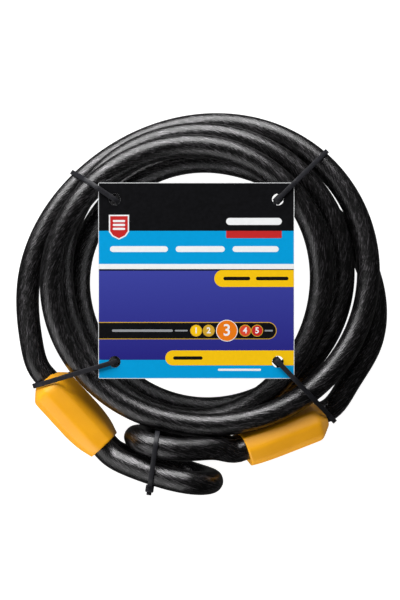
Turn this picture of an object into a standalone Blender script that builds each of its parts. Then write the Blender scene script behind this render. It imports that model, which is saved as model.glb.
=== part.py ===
"""A double-loop security cable, coiled for sale and tied to its printed card.

A steel wire cable in a smoked PVC sheath is wound in a little under four turns. Each end is
folded back into an eye and held by a ferrule inside a moulded cover. Four ties hold the turns
together and the card on top of them, and a fifth tie holds the two eyes together.

The coil lies flat: +Z is the way the card faces, +Y is the top of the card. The origin is under
the middle of the whole object, on the surface that it lies on.
"""

import math

import bmesh
import bpy
import numpy as np
from mathutils import Matrix, Vector

MM = 0.001

# Where the middle of the coil sits above the object's own origin.
COIL_CENTRE = Vector((0.349, 14.764, -0.047)) * MM

GAP = 0.35 * MM                    # clearance kept between neighbouring pieces

# Cable
CABLE_RADIUS = 6.0 * MM
SHEATH_WALL = 1.5 * MM
CORE_RADIUS = 4.0 * MM
CABLE_BEVEL = 4                    # twelve sides
LEG_OFFSET = 6.2 * MM              # each leg of an eye from the middle of its cover
STEP_ANGLE = 22.5                  # degrees of coil between two points of the cable

# Covers and ferrules: lengths run along the two legs from the end that the cable enters.
COVER_LENGTH = 45.5 * MM
COVER_BREADTH = 29.4 * MM          # across the two legs
COVER_THICKNESS = 17.8 * MM
COVER_FACET = 5.4 * MM             # the flats along the cover's four long edges
COVER_TAPER = 5.2 * MM             # the slopes round the end that the cable enters
COVER_MOUTH_TAPER = 1.6 * MM       # the slopes round the end that the eye leaves
COVER_ROUNDING = 0.5 * MM
POCKET_START = 7.0 * MM            # the two-leg pocket runs from here to the eye end
POCKET_RADIUS = 6.4 * MM
FERRULE_START = 11.0 * MM
FERRULE_END = 37.0 * MM
FERRULE_RADIUS = 6.05 * MM
FERRULE_BORE = 4.4 * MM
LEG_STRAIGHT = 3.0 * MM            # the cable stays straight this far beyond a cover's end

# Card
CARD_SIZE = 100.0 * MM
CARD_THICKNESS = 0.6 * MM
CARD_CENTRE = Vector((-2.4, -3.7, 39.0)) * MM
CARD_CORNER_RADIUS = 0.8 * MM
HOLE_RADIUS = 3.0 * MM

# Cable ties
TIE_WIDTH = 2.5 * MM
TIE_THICKNESS = 1.1 * MM
TIE_HEAD = Vector((5.0, 4.2, 3.6)) * MM       # along the strap, across it, outwards
TIE_TAIL = 1.6 * MM                # the cut end of the strap beyond the head
LEVEL_STEP = 0.3 * MM              # a strap's underside is flat where it is within this of its lowest

# The turns of the coil, clockwise from above, with a station every 45 degrees: the radius and the
# height of the middle of the cable. The first turn starts 180 degrees round from +X.
COIL_TURNS = (
    (
        (90.3, 11.4), (79.0, 7.5), (79.1, 7.5), (85.6, 13.4),
        (87.3, 21.2), (83.0, 28.4), (77.8, 32.6), (78.2, 32.0),
    ),
    (
        (76.9, 31.8), (70.4, 32.2), (65.7, 31.4), (62.8, 31.2),
        (62.0, 30.6), (67.2, 23.8), (75.9, 19.4), (74.0, 19.5),
    ),
    (
        (72.8, 19.4), (73.6, 19.6), (73.0, 19.6), (73.6, 19.9),
        (74.4, 18.8), (73.0, 11.0), (71.0, 7.5), (67.6, 7.5),
    ),
    ((64.6, 7.5), (60.6, 7.5), (59.8, 7.5), (66.0, 7.5), (89.2, 7.5)),
)
# Stations beyond the two ends of the turns: angle, radius, height.
COIL_LEAD_IN = (202.5, 96.0, 16.4)
COIL_LEAD_OUT = ((-1102.5, 97.2, 7.5), (-1117.0, 97.2, 7.6))

# Covers: the middle of the end that the cable enters, the middle of the end that the eye leaves,
# how far the row of legs leans sideways, which leg comes from the coil (+1 upper, -1 lower), and how
# far the outside is turned about the legs in degrees.
LEFT_COVER = dict(
    cable_end=(-80.9, -55.2, 24.6), eye_end=(-50.1, -88.7, 24.6), lean=-0.12, coil_side=-1, roll=15.0,
)
RIGHT_COVER = dict(
    cable_end=(63.8, -74.2, 14.2), eye_end=(23.7, -89.1, 21.0), lean=0.12, coil_side=-1, roll=-15.0,
)

# Eyes, from the cover to the tip: the middle of the eye across its plane, how far the plane leans
# there towards the coil, and half the distance between the two legs in height.
LEFT_EYE = (
    (-38.0, -96.7, 25.0, 0.9, 9.4), (-26.3, -100.4, 25.0, 1.2, 13.1), (-16.0, -103.2, 25.0, 1.2, 16.0),
    (-7.2, -105.3, 25.0, 0.9, 16.4), (0.4, -106.8, 25.0, 0.5, 12.0),
)
LEFT_EYE_TIP = (5.6, -107.4, 25.0)
RIGHT_EYE = (
    (9.6, -89.4, 23.6, 0.8, 8.8), (-4.0, -88.9, 24.0, 1.0, 13.6), (-14.0, -88.1, 24.2, 1.4, 16.2),
    (-22.4, -87.0, 24.8, 1.2, 16.0), (-29.4, -85.7, 25.0, 0.7, 11.6),
)
RIGHT_EYE_TIP = (-34.0, -84.6, 25.0)

# Corner ties: which corner's hole the tie goes through, and its direction outwards in degrees.
CORNER_TIES = {
    "cable_tie_top_left": ((-1, 1), 146.0),
    "cable_tie_top_right": ((1, 1), 45.0),
    "cable_tie_bottom_left": ((-1, -1), 196.9),
    "cable_tie_bottom_right": ((1, -1), -46.1),
}
HOLE_FROM_MIDDLE = Vector((41.6, 41.4)) * MM
CORNER_TIE_REACH = 62.0 * MM
CORNER_HEAD_HEIGHT = 22.0 * MM
EYE_TIE_POINT = Vector((-24.2, -95.6)) * MM
EYE_TIE_DIRECTION = -98.0
EYE_TIE_REACH = 16.0 * MM
EYE_TIE_LOWEST = 25.0 * MM         # the strap goes through both eyes, round their upper legs only

SHEATH_COLOUR = (0.030, 0.030, 0.033)
STEEL_COLOUR = (0.45, 0.45, 0.47)
ALUMINIUM_COLOUR = (0.75, 0.76, 0.78)
COVER_COLOUR = (0.80, 0.35, 0.010)
TIE_COLOUR = (0.012, 0.012, 0.014)
CARD_COLOUR = (0.02, 0.33, 0.66)


# Scene and materials

def clear_scene():
    for item in list(bpy.data.objects):
        bpy.data.objects.remove(item, do_unlink=True)


def make_collection(name):
    collection = bpy.data.collections.new(name)
    bpy.context.scene.collection.children.link(collection)
    return collection


def make_material(name, colour, roughness, metallic=0.0):
    material = bpy.data.materials.new(name)
    material.use_nodes = True
    shader = material.node_tree.nodes["Principled BSDF"]
    shader.inputs["Base Color"].default_value = (*colour, 1.0)
    shader.inputs["Roughness"].default_value = roughness
    shader.inputs["Metallic"].default_value = metallic
    material.diffuse_color = (*colour, 1.0)
    return material


def add_object(name, data, collection, material=None, matrix=None):
    item = bpy.data.objects.new(name, data)
    collection.objects.link(item)
    if material is not None:
        data.materials.append(material)
    if matrix is not None:
        item.matrix_world = matrix
    return item


def curve_to_mesh(item):
    """Replaces a curve object with a welded mesh object of the same name and place."""
    bpy.context.view_layer.update()
    evaluated = item.evaluated_get(bpy.context.evaluated_depsgraph_get())
    mesh = bpy.data.meshes.new_from_object(evaluated)
    name = item.name
    collection = item.users_collection[0]
    matrix = item.matrix_world.copy()
    bpy.data.objects.remove(item, do_unlink=True)
    work = bmesh.new()
    work.from_mesh(mesh)
    bmesh.ops.remove_doubles(work, verts=work.verts, dist=0.00001)
    bmesh.ops.recalc_face_normals(work, faces=work.faces)
    work.to_mesh(mesh)
    work.free()
    return add_object(name, mesh, collection, matrix=matrix)


def add_boolean(item, other, operation):
    modifier = item.modifiers.new(other.name, "BOOLEAN")
    modifier.operation = operation
    modifier.solver = "EXACT"
    modifier.object = other
    other.hide_render = True
    other.display_type = "WIRE"


def shade_round(item):
    item.data.shade_smooth()
    item.data.set_sharp_from_angle(angle=math.radians(35))


# The cable's route

def clamped_spline(points, start, end):
    """A smooth curve through the points that leaves along start and arrives along end."""
    points = np.array(points, dtype=float)
    spans = np.linalg.norm(np.diff(points, axis=0), axis=1)
    slopes = np.diff(points, axis=0) / spans[:, None]
    count = len(points)
    matrix = np.eye(count)
    right = np.zeros((count, 3))
    right[0] = np.array(start)
    right[-1] = np.array(end)
    for i in range(1, count - 1):
        matrix[i, i - 1] = spans[i]
        matrix[i, i] = 2.0 * (spans[i - 1] + spans[i])
        matrix[i, i + 1] = spans[i - 1]
        right[i] = 3.0 * (spans[i] * slopes[i - 1] + spans[i - 1] * slopes[i])
    tangents = np.linalg.solve(matrix, right)

    def at(index, share):
        """The curve between point index and the next one, with share from 0 to 1."""
        span = spans[index]
        first = (1 + 2 * share) * (1 - share) ** 2 * points[index]
        last = share ** 2 * (3 - 2 * share) * points[index + 1]
        leaving = share * (1 - share) ** 2 * span * tangents[index]
        arriving = share ** 2 * (share - 1) * span * tangents[index + 1]
        return Vector(first + last + leaving + arriving)

    return at


def sample_spline(points, start, end, parts):
    """Points read from the smooth curve: parts[i] of them in the stretch after point i."""
    at = clamped_spline(points, start, end)
    samples = [Vector(points[0])]
    for index, count in enumerate(parts):
        samples += [at(index, (k + 1) / count) for k in range(count)]
    return samples


def polar(angle, radius, height):
    turn = math.radians(angle)
    return Vector((radius * math.cos(turn), radius * math.sin(turn), height)) * MM


def coil_points():
    """The coil's own points, one every STEP_ANGLE, through smoothly varying radius and height."""
    stations = [COIL_LEAD_IN]
    angle = 180.0
    for turn in COIL_TURNS:
        for radius, height in turn:
            stations.append((angle, radius, height))
            angle -= 45.0
    stations += COIL_LEAD_OUT
    ends = [Vector(stations[1]) - Vector(stations[0]), Vector(stations[-1]) - Vector(stations[-2])]
    at = clamped_spline(stations, ends[0].normalized(), ends[1].normalized())
    points = []
    for index in range(len(stations) - 1):
        reach = stations[index][0] - stations[index + 1][0]
        count = max(1, round(reach / STEP_ANGLE))
        for k in range(count):
            wanted = stations[index][0] - reach * k / count
            low, high = 0.0, 1.0
            for _ in range(40):
                middle = (low + high) / 2
                if at(index, middle)[0] > wanted:
                    low = middle
                else:
                    high = middle
            points.append(polar(*at(index, low)))
    points.append(polar(*stations[-1]))
    return points


def cover_frame(cover):
    """A matrix whose Z runs from the cable end to the eye end and whose X runs across the legs."""
    start = Vector(cover["cable_end"]) * MM
    axis = (Vector(cover["eye_end"]) * MM - start).normalized()
    side = axis.cross(Vector((0, 0, 1))).normalized()
    across = Vector((0, 0, 1)) - side * cover["lean"]
    across = (across - axis * across.dot(axis)).normalized()
    thin = axis.cross(across)
    rotation = Matrix((across, thin, axis)).transposed().to_4x4()
    return Matrix.Translation(start) @ rotation


def outside_frame(cover):
    """As cover_frame, for the cover's faceted outside."""
    return cover_frame(cover) @ Matrix.Rotation(math.radians(cover["roll"]), 4, "Z")


def leg_point(frame, side, along):
    return frame @ Vector((side * LEG_OFFSET, 0.0, along))


def eye_route(cover, stations, tip):
    """The cable from the coil's leg at the cover's mouth, round the eye and back into the cover."""
    frame = cover_frame(cover)
    side = cover["coil_side"]
    out = (frame.to_3x3() @ Vector((0, 0, 1))).normalized()
    legs = []
    for leg in (side, -side):
        row = [Vector((x, y - leg * lean, z + leg * rise)) * MM for x, y, z, lean, rise in stations]
        legs.append(row)
    points = [leg_point(frame, side, COVER_LENGTH + LEG_STRAIGHT)]
    points += legs[0]
    points.append(Vector(tip) * MM)
    points += reversed(legs[1])
    points.append(leg_point(frame, -side, COVER_LENGTH + LEG_STRAIGHT))
    return sample_spline(points, out, -out, [1] * (len(points) - 1))


def coil_route():
    """The cable from just outside the left cover, round the turns, to just outside the right cover."""
    left = cover_frame(LEFT_COVER)
    right = cover_frame(RIGHT_COVER)
    leaving = -(left.to_3x3() @ Vector((0, 0, 1)))
    arriving = right.to_3x3() @ Vector((0, 0, 1))
    points = [leg_point(left, LEFT_COVER["coil_side"], -LEG_STRAIGHT)]
    points += coil_points()
    points.append(leg_point(right, RIGHT_COVER["coil_side"], -LEG_STRAIGHT))
    parts = [2] + [1] * (len(points) - 3) + [2]
    return sample_spline(points, leaving, arriving, parts)


# Cable pieces

def add_tube(name, points, radius, collection, closed_ends=True):
    curve = bpy.data.curves.new(name, "CURVE")
    curve.dimensions = "3D"
    curve.bevel_depth = radius
    curve.bevel_resolution = CABLE_BEVEL
    curve.use_fill_caps = closed_ends
    spline = curve.splines.new("POLY")
    spline.points.add(len(points) - 1)
    for place, point in zip(spline.points, points):
        place.co = (*point, 1.0)
    return add_object(name, curve, collection)


def make_sheath(name, points, collection):
    material = make_material(name + "_pvc", SHEATH_COLOUR, 0.22)
    tube = curve_to_mesh(add_tube(name, points, CABLE_RADIUS, collection, closed_ends=False))
    tube.data.materials.append(material)
    shell = tube.modifiers.new("wall", "SOLIDIFY")
    shell.thickness = SHEATH_WALL
    shell.offset = -1.0
    shade_round(tube)
    return tube


def make_core(points, collection):
    core = curve_to_mesh(add_tube("steel_wire_core", points, CORE_RADIUS, collection))
    core.data.materials.append(make_material("steel_wire", STEEL_COLOUR, 0.35, 1.0))
    shade_round(core)
    return core


# Covers and ferrules

def stadium(radius, offset, segments=12):
    """A long hole's outline: two half circles round the two legs."""
    outline = []
    for side in (1, -1):
        for k in range(segments + 1):
            turn = math.pi * (k / segments - 0.5) + (0.0 if side > 0 else math.pi)
            outline.append((side * offset + radius * math.cos(turn), radius * math.sin(turn)))
    return outline


def circle(radius, centre=(0.0, 0.0), segments=24):
    turns = [2 * math.pi * k / segments for k in range(segments)]
    return [(centre[0] + radius * math.cos(t), centre[1] + radius * math.sin(t)) for t in turns]


def add_plate(name, outlines, thickness, collection, matrix):
    """A flat piece with holes, from closed outlines, lying across its own Z."""
    curve = bpy.data.curves.new(name, "CURVE")
    curve.dimensions = "2D"
    curve.fill_mode = "BOTH"
    curve.extrude = thickness / 2
    for outline in outlines:
        spline = curve.splines.new("POLY")
        spline.points.add(len(outline) - 1)
        for place, (x, y) in zip(spline.points, outline):
            place.co = (x, y, 0.0, 1.0)
        spline.use_cyclic_u = True
    return curve_to_mesh(add_object(name, curve, collection, matrix=matrix))


def cover_body():
    """A cover's faceted outside, from the end that the cable enters along +Z."""
    body = bmesh.new()
    bmesh.ops.create_cube(body, size=1.0)
    bmesh.ops.scale(body, vec=(COVER_BREADTH, COVER_THICKNESS, COVER_LENGTH), verts=body.verts)
    bmesh.ops.translate(body, vec=(0, 0, COVER_LENGTH / 2), verts=body.verts)
    long_edges = [e for e in body.edges if abs(e.verts[0].co.z - e.verts[1].co.z) > COVER_LENGTH / 2]
    bmesh.ops.bevel(body, geom=long_edges, offset=COVER_FACET, segments=1, affect="EDGES")
    end_edges = [e for e in body.edges if max(v.co.z for v in e.verts) < COVER_LENGTH / 4]
    bmesh.ops.bevel(body, geom=end_edges, offset=COVER_TAPER, segments=1, affect="EDGES")
    mouth_edges = [e for e in body.edges if min(v.co.z for v in e.verts) > COVER_LENGTH * 0.99]
    bmesh.ops.bevel(body, geom=mouth_edges, offset=COVER_MOUTH_TAPER, segments=1, affect="EDGES")
    body.verts.index_update()
    return body


def make_cover(name, cover, collection, cutters):
    """A faceted moulded cover with a pocket for both legs and a bore for the coil's leg."""
    frame = cover_frame(cover)
    body = cover_body()
    mesh = bpy.data.meshes.new(name)
    body.to_mesh(mesh)
    body.free()
    material = make_material(name + "_plastic", COVER_COLOUR, 0.32)
    item = add_object(name, mesh, collection, material, outside_frame(cover))
    rounding = item.modifiers.new("rounding", "BEVEL")
    rounding.width = COVER_ROUNDING
    rounding.segments = 2
    rounding.limit_method = "ANGLE"
    rounding.angle_limit = math.radians(25)

    depth = COVER_LENGTH - POCKET_START + GAP
    pocket_middle = POCKET_START + depth / 2
    pocket = add_plate(
        name + "_pocket", [stadium(POCKET_RADIUS, LEG_OFFSET)], depth, cutters,
        frame @ Matrix.Translation((0, 0, pocket_middle)))
    bore_length = POCKET_START + 4 * GAP
    bore = add_plate(
        name + "_bore", [circle(CABLE_RADIUS + GAP, (cover["coil_side"] * LEG_OFFSET, 0.0), 32)],
        bore_length, cutters, frame @ Matrix.Translation((0, 0, bore_length / 2 - 2 * GAP)))
    add_boolean(item, pocket, "DIFFERENCE")
    add_boolean(item, bore, "DIFFERENCE")
    shade_round(item)
    return item


def make_ferrule(name, cover, collection):
    """An aluminium sleeve crimped round the bare core of both legs."""
    length = FERRULE_END - FERRULE_START
    middle = (FERRULE_START + FERRULE_END) / 2
    outlines = [stadium(FERRULE_RADIUS, LEG_OFFSET)]
    outlines += [circle(FERRULE_BORE, (side * LEG_OFFSET, 0.0)) for side in (1, -1)]
    frame = cover_frame(cover) @ Matrix.Translation((0, 0, middle))
    item = add_plate(name, outlines, length, collection, frame)
    item.data.materials.append(make_material(name + "_metal", ALUMINIUM_COLOUR, 0.35, 1.0))
    shade_round(item)
    return item


# Card

def rounded_square(size, radius, segments=5):
    outline = []
    half = size / 2 - radius
    for k, (x, y) in enumerate(((half, half), (-half, half), (-half, -half), (half, -half))):
        for j in range(segments + 1):
            turn = math.pi / 2 * (k + j / segments)
            outline.append((x + radius * math.cos(turn), y + radius * math.sin(turn)))
    return outline


def hole_places():
    return {
        (sx, sy): Vector((sx * HOLE_FROM_MIDDLE.x, sy * HOLE_FROM_MIDDLE.y))
        for sx in (-1, 1) for sy in (-1, 1)
    }


def make_card(collection):
    outlines = [rounded_square(CARD_SIZE, CARD_CORNER_RADIUS)]
    outlines += [circle(HOLE_RADIUS, tuple(place)) for place in hole_places().values()]
    matrix = Matrix.Translation(CARD_CENTRE)
    item = add_plate("printed_card", outlines, CARD_THICKNESS, collection, matrix)
    item.data.materials.append(make_material("card_print", CARD_COLOUR, 0.35))
    return item


# Cable ties

def tie_axes(point, direction):
    """A tie's own directions: outwards along its upright plane, across the plane, and its start."""
    turn = math.radians(direction)
    along = Vector((math.cos(turn), math.sin(turn), 0.0))
    across = Vector((-along.y, along.x, 0.0))
    return along, across, Vector((point.x, point.y, 0.0))


def strap_cuts(segments, point, direction, reach):
    """Where straight segments pass through the middle and both edges of a tie's strap.

    Gives the place along the tie's plane, the height, and how squarely the segment passes through.
    """
    along, across, origin = tie_axes(point, direction)
    found = []
    for first, second in segments:
        for offset in (-TIE_WIDTH / 2 - GAP, 0.0, TIE_WIDTH / 2 + GAP):
            a = (first - origin).dot(across) - offset
            b = (second - origin).dot(across) - offset
            if a * b >= 0:
                continue
            cut = first.lerp(second, a / (a - b))
            place = (cut - origin).dot(along)
            if abs(place) < reach:
                square = abs((second - first).normalized().dot(across))
                found.append((place, cut.z, square))
    return found


def convex_outline(points):
    """The outline of a strap pulled tight round the points."""
    ordered = sorted(set((round(x, 8), round(y, 8)) for x, y in points))

    def half(sequence):
        chain = []
        for p in sequence:
            while len(chain) > 1:
                (ax, ay), (bx, by) = chain[-2], chain[-1]
                if (bx - ax) * (p[1] - ay) - (by - ay) * (p[0] - ax) > 0:
                    break
                chain.pop()
            chain.append(p)
        return chain[:-1]

    return half(ordered) + half(reversed(ordered))


def strap_outline(rounds, extra):
    """A tight strap round a set of (place, height, half breadth, half height) rounds."""
    points = []
    for place, height, breadth, rise in rounds:
        for k in range(32):
            turn = 2 * math.pi * k / 32
            x = place + (breadth + extra) * math.cos(turn)
            points.append((x, height + (rise + extra) * math.sin(turn)))
    return convex_outline(points)


def level_underside(outline):
    """The outline with its underside flat, as the surface under the coil keeps it."""
    lowest = min(height for _, height in outline)
    low = [place for place, height in outline if height < lowest + LEVEL_STEP]
    kept = [p for p in outline if p[1] >= lowest + LEVEL_STEP]
    return convex_outline(kept + [(min(low), lowest), (max(low), lowest)])


def make_tie(name, point, direction, rounds, head_near, collection, cutters):
    """A nylon tie: a tight strap in an upright plane, its head, and its cut tail."""
    turn = math.radians(direction)
    along = Vector((math.cos(turn), math.sin(turn), 0.0))
    normal = along.cross(Vector((0, 0, 1)))
    plane = Matrix((along, Vector((0, 0, 1)), normal)).transposed().to_4x4()
    plane = Matrix.Translation((point.x, point.y, 0.0)) @ plane
    inner = strap_outline(rounds, 0.0)
    outer = level_underside(strap_outline(rounds, TIE_THICKNESS))
    tie = add_plate(name, [outer, inner], TIE_WIDTH, collection, plane)
    tie.data.materials.append(make_material(name + "_nylon", TIE_COLOUR, 0.38))

    near = Vector(head_near)
    corners = [Vector(p) for p in outer]
    edges = list(zip(corners, corners[1:] + corners[:1]))
    start, end = min(edges, key=lambda e: ((e[0] + e[1]) / 2 - near).length)
    run = (end - start).normalized()
    outward = Vector((run.y, -run.x))
    share = max(0.0, min((end - start).length, (near - start).dot(run)))
    base = start + run * share
    frame = Matrix((
        (run.x, 0.0, outward.x, base.x),
        (run.y, 0.0, outward.y, base.y),
        (0.0, 1.0, 0.0, 0.0),
        (0.0, 0.0, 0.0, 1.0),
    ))
    sink = TIE_THICKNESS / 2
    head = add_box(name + "_head", TIE_HEAD, 0.45 * MM, cutters)
    head.matrix_world = plane @ frame @ Matrix.Translation((0, 0, TIE_HEAD.z / 2 - sink))
    tail_size = Vector((TIE_THICKNESS, TIE_WIDTH, TIE_TAIL * 2))
    tail = add_box(name + "_tail", tail_size, 0.2 * MM, cutters)
    tail.matrix_world = plane @ frame @ Matrix.Translation((0, 0, TIE_HEAD.z - sink))
    add_boolean(tie, head, "UNION")
    add_boolean(tie, tail, "UNION")
    return tie


def add_box(name, size, rounding, collection):
    box = bmesh.new()
    bmesh.ops.create_cube(box, size=1.0)
    bmesh.ops.scale(box, vec=size, verts=box.verts)
    bmesh.ops.bevel(box, geom=box.edges[:], offset=rounding, segments=1, affect="EDGES")
    mesh = bpy.data.meshes.new(name)
    box.to_mesh(mesh)
    box.free()
    return add_object(name, mesh, collection)


def cable_rounds(route, point, direction, reach):
    """The rounds that a tie's strap has to clear where the cable passes through its loop."""
    cuts = strap_cuts(zip(route, route[1:]), point, direction, reach)
    radius = CABLE_RADIUS + GAP
    return [(place, height, radius / square, radius) for place, height, square in cuts]


def cover_rounds(cover, point, direction, reach):
    """Small rounds at the corners of a cover's section where a tie's strap passes over it."""
    frame = outside_frame(cover)
    body = cover_body()
    edges = [tuple(frame @ v.co for v in edge.verts) for edge in body.edges]
    body.free()
    return [(place, height, GAP, GAP) for place, height, _ in strap_cuts(edges, point, direction, reach)]


def card_edge_place(point, direction):
    """How far from a hole, along a tie's direction, the card's edge lies."""
    turn = math.radians(direction)
    step = (math.cos(turn), math.sin(turn))
    half = CARD_SIZE / 2
    reaches = []
    for start, centre, way in zip(point, CARD_CENTRE, step):
        if abs(way) > 0.001:
            reaches.append((centre + math.copysign(half, way) - start) / way)
    return min(reaches)


def make_corner_ties(route, collection, cutters):
    card_top = CARD_CENTRE.z + CARD_THICKNESS / 2 + GAP
    small = 0.3 * MM
    for name, (corner, direction) in CORNER_TIES.items():
        place = hole_places()[corner]
        point = Vector((CARD_CENTRE.x + place.x, CARD_CENTRE.y + place.y))
        rounds = cable_rounds(route, point, direction, CORNER_TIE_REACH)
        for cover in (LEFT_COVER, RIGHT_COVER):
            rounds += cover_rounds(cover, point, direction, CORNER_TIE_REACH)
        rounds.append((-small, card_top + small, small, small))
        rounds.append((card_edge_place(point, direction) + small, card_top + small, 3 * small, small))
        innermost = min(r[0] - r[2] for r in rounds)
        make_tie(name, point, direction, rounds, (innermost, CORNER_HEAD_HEIGHT), collection, cutters)


def make_eye_tie(eyes, collection, cutters):
    rounds = []
    for eye in eyes:
        found = cable_rounds(eye, EYE_TIE_POINT, EYE_TIE_DIRECTION, EYE_TIE_REACH)
        rounds += [r for r in found if r[1] > EYE_TIE_LOWEST]
    outermost = max(rounds, key=lambda r: r[0] + r[1])
    head_near = (outermost[0] + outermost[2], outermost[1])
    make_tie("eye_tie", EYE_TIE_POINT, EYE_TIE_DIRECTION, rounds, head_near, collection, cutters)


# The whole object

def build():
    clear_scene()
    parts = make_collection("cable_lock")
    cutters = make_collection("cutters")

    left = cover_frame(LEFT_COVER)
    right = cover_frame(RIGHT_COVER)
    left_side = LEFT_COVER["coil_side"]
    right_side = RIGHT_COVER["coil_side"]
    coil = coil_route()
    left_eye = eye_route(LEFT_COVER, LEFT_EYE, LEFT_EYE_TIP)
    right_eye = eye_route(RIGHT_COVER, RIGHT_EYE, RIGHT_EYE_TIP)

    sheath_in = FERRULE_START - GAP
    sheath_out = FERRULE_END + GAP
    tail_end = POCKET_START + 2 * GAP
    coil_tube = [leg_point(left, left_side, sheath_in), *coil, leg_point(right, right_side, sheath_in)]
    make_sheath("coil_sheath", coil_tube, parts)
    left_first = leg_point(left, left_side, sheath_out)
    left_last = leg_point(left, -left_side, sheath_out)
    make_sheath("left_eye_sheath", [left_first, *left_eye, left_last], parts)
    right_first = leg_point(right, right_side, sheath_out)
    right_last = leg_point(right, -right_side, sheath_out)
    make_sheath("right_eye_sheath", [right_first, *right_eye, right_last], parts)
    left_tail = leg_point(left, -left_side, tail_end)
    right_tail = leg_point(right, -right_side, tail_end)
    make_core([left_tail, *reversed(left_eye), *coil, *right_eye, right_tail], parts)

    make_ferrule("left_ferrule", LEFT_COVER, parts)
    make_ferrule("right_ferrule", RIGHT_COVER, parts)
    make_cover("left_cover", LEFT_COVER, parts, cutters)
    make_cover("right_cover", RIGHT_COVER, parts, cutters)
    make_card(parts)
    make_corner_ties(coil_tube, parts, cutters)
    make_eye_tie((left_eye, right_eye), parts, cutters)

    origin = bpy.data.objects.new("object_origin", None)
    bpy.context.scene.collection.objects.link(origin)
    for item in list(parts.objects) + list(cutters.objects):
        item.parent = origin
    origin.location = COIL_CENTRE


build()
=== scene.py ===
"""The look of a coiled double-loop security cable on its card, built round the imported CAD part."""

import math

import bmesh
import bpy
import numpy as np
from mathutils import Matrix, Vector


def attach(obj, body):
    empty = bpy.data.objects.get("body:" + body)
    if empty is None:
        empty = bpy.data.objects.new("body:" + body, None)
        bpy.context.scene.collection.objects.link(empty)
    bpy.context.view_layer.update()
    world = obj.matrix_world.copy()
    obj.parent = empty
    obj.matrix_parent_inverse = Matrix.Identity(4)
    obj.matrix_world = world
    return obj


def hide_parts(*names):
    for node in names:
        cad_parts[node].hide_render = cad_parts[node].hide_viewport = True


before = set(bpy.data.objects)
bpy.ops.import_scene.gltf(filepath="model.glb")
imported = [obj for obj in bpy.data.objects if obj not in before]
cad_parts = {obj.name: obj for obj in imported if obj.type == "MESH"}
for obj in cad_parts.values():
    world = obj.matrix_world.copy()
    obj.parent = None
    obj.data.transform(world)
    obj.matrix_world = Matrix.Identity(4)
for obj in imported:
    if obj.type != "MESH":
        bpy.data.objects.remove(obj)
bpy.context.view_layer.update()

MM = 0.001
COIL_CENTRE = Vector((0.349, 14.764, -0.047)) * MM

# Cable
CABLE_RADIUS = 6.0 * MM
SHEATH_INSIDE = 4.5 * MM
CABLE_SIDES = 32
RING_STEP = 2.4 * MM
LEG_OFFSET = 6.2 * MM
LEG_STRAIGHT = 3.0 * MM
STEP_ANGLE = 22.5
BISECTIONS = 40
SPLINE_PARTS = 12                  # pieces of curve between two of the route's points
STRAND_RADIUS = 1.30 * MM
STRAND_CIRCLE = 2.66 * MM
STRAND_LAY = 62.0 * MM
STRAND_SIDES = 8
OUTER_STRANDS = 6
CORE_STEP = RING_STEP * 1.3

# Covers
COVER_LENGTH = 45.5 * MM
FERRULE_START = 11.0 * MM
FERRULE_END = 37.0 * MM
POCKET_START = 7.0 * MM
POCKET_RADIUS = 6.4 * MM
GAP = 0.35 * MM
CUT_PAST = 2.0 * MM                # the pockets' cutters stand out of the cover this far
CUT_OVERLAP = 1.0 * MM             # and overlap one another this far
POCKET_SIDES = 24                  # steps round each half of the pocket's outline
BORE_SIDES = 48
COVER_SIDES = 120
FACET_SHARPNESS = 34.0
# The flats round a cover: which way each faces in degrees, and its distance from the middle.
COVER_FLATS = (
    (0, 14.7), (45, 12.87), (90, 8.9), (135, 12.87),
    (180, 14.7), (225, 12.87), (270, 8.9), (315, 12.87),
)
# Where the cover narrows: place along it, inset from the flats, and share of the mouth's oval.
COVER_STATIONS = (
    (0.0, 5.3, 0.0), (0.25, 4.95, 0.0), (0.8, 4.4, 0.0), (2.0, 3.2, 0.0), (3.4, 1.8, 0.0),
    (4.4, 0.9, 0.0), (5.2, 0.35, 0.0), (6.2, 0.08, 0.0), (8.0, 0.0, 0.0), (18.0, 0.0, 0.0),
    (28.0, 0.0, 0.0), (31.0, 0.0, 0.04), (34.0, 0.0, 0.11), (36.5, 0.0, 0.20),
    (38.7, 0.0, 0.32), (40.6, 0.0, 0.45), (42.2, 0.0, 0.60),
    (43.5, 0.0, 0.75), (44.5, 0.0, 0.88), (45.2, 0.0, 0.97), (45.5, 0.25, 1.0),
)
MOUTH_RADIUS = 7.7
LEFT_CLOSING = 1.0                 # how far each cover's mouth closes in round the legs
RIGHT_CLOSING = 0.3

# Card
CARD_SIZE = 100.0 * MM
CARD_THICKNESS = 0.6 * MM
CARD_CENTRE = Vector((-2.4, -3.7, 39.0)) * MM
HOLE_RADIUS = 3.0 * MM
HOLE_FROM_MIDDLE = Vector((41.6, 41.4)) * MM
PRINT_STEP = 0.02 * MM             # each printed layer stands this far above the last
CIRCLE_LAYER = 5
DIGIT_LAYER = 6
WELD = 0.001 * MM
HOLE_CUT_DEPTH = 4.0 * MM
PRINT_EDGE = 49.7                  # the print stops this far from the middle, in millimetres
SQUARE_CORNER = 0.01               # the radius of a corner meant to be square
CORNER_STEPS = 8
CIRCLE_SIDES = 40
HOLE_SIDES = 40
DIGIT_SCALE = 1.38                 # the font's size for a digit one unit high
DIGIT_BOLDNESS = 0.12 * MM
SCALE_MIDDLE = -25.5
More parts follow.
